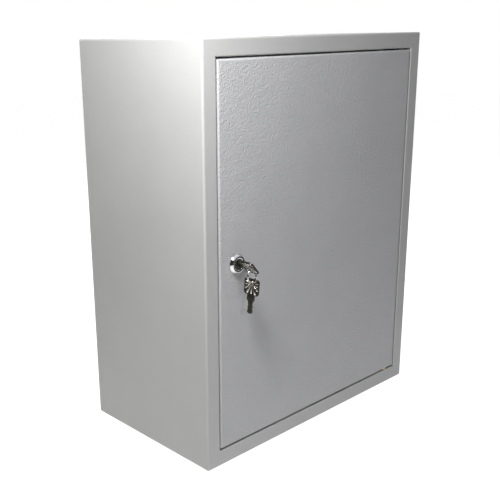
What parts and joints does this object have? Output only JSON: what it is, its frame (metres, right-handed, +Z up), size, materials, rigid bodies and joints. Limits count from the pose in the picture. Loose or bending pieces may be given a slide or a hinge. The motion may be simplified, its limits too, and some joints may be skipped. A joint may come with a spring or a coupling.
{
  "type": "steel wall enclosure",
  "caption": "Folded steel wall cabinet with an inset hinged door, a keyed cam lock, an inner mounting plate and a blank cable entry in its floor.",
  "frame": {"origin": "middle of the four wall holes, on the back face of the cabinet", "axes": "+X to the right as seen from the front, +Y into the wall, +Z up"},
  "size_m": [0.4, 0.2548, 0.5],
  "materials": {
    "cabinet_paint": "light grey textured powder coat",
    "door_paint": "light grey textured powder coat",
    "foam": "matt closed-cell foam",
    "zinc": "zinc plated",
    "galvanised": "galvanised with a faint spangle",
    "brass": "plain brass",
    "chrome": "polished chrome",
    "nickel": "polished nickel plate with dark flutes",
    "ring_steel": "nickel plated spring wire"
  },
  "bodies": {
    "cabinet": {"cabinet_shell": "cabinet_paint", "back_panel": "cabinet_paint", "door_stop_left": "cabinet_paint", "door_stop_top": "cabinet_paint", "door_stop_bottom": "cabinet_paint", "door_seal": "foam", "upper_pivot_pin": "zinc", "lower_pivot_pin": "zinc", "pivot_washer": "brass", "plate_studs": "zinc", "mounting_plate": "galvanised", "plate_washers": "zinc", "plate_nuts": "zinc", "entry_studs": "zinc", "entry_gasket": "foam", "entry_plate": "cabinet_paint", "entry_nuts": "zinc", "cabinet_earth_stud": "brass", "cabinet_earth_washers": "brass", "cabinet_earth_nut": "brass"},
    "door": {"door_panel": "door_paint", "upper_pivot_plate": "zinc", "lower_pivot_plate": "zinc", "door_earth_stud": "brass", "door_earth_washers": "brass", "door_earth_nut": "brass", "lock_housing": "chrome", "lock_washer": "zinc", "lock_nut": "zinc"},
    "plug": {"lock_plug": "chrome", "lock_wafers": "brass", "lock_cam": "zinc", "cam_washer": "zinc", "cam_nut": "zinc"},
    "key": {"key": "nickel"},
    "ring": {"key_ring": "ring_steel"},
    "spare_key": {"spare_key": "nickel"}
  },
  "joints": [
    {"name": "door_hinge", "type": "hinge", "parent": "cabinet", "child": "door", "pos_m": [0.161, -0.213, 0], "axis": [0, 0, 1], "range_deg": [0, 120]},
    {"name": "lock_turn", "type": "hinge", "parent": "door", "child": "plug", "pos_m": [-0.151, -0.22, 0], "axis": [0, 1, 0], "range_deg": [0, 90]},
    {"name": "key_slide", "type": "slide", "parent": "plug", "child": "key", "axis": [0, -1, 0], "range_m": [0, 0.018]},
    {"name": "ring_swing", "type": "hinge", "parent": "key", "child": "ring", "pos_m": [-0.151, -0.2446, 0], "axis": [-0.1736, 0.9848, 0], "range_deg": [-80, 0]},
    {"name": "spare_key_swing", "type": "hinge", "parent": "ring", "child": "spare_key", "pos_m": [-0.151, -0.2446, -0.017], "axis": [0.9848, 0.1736, 0], "range_deg": [-45, 25]}
  ]
}
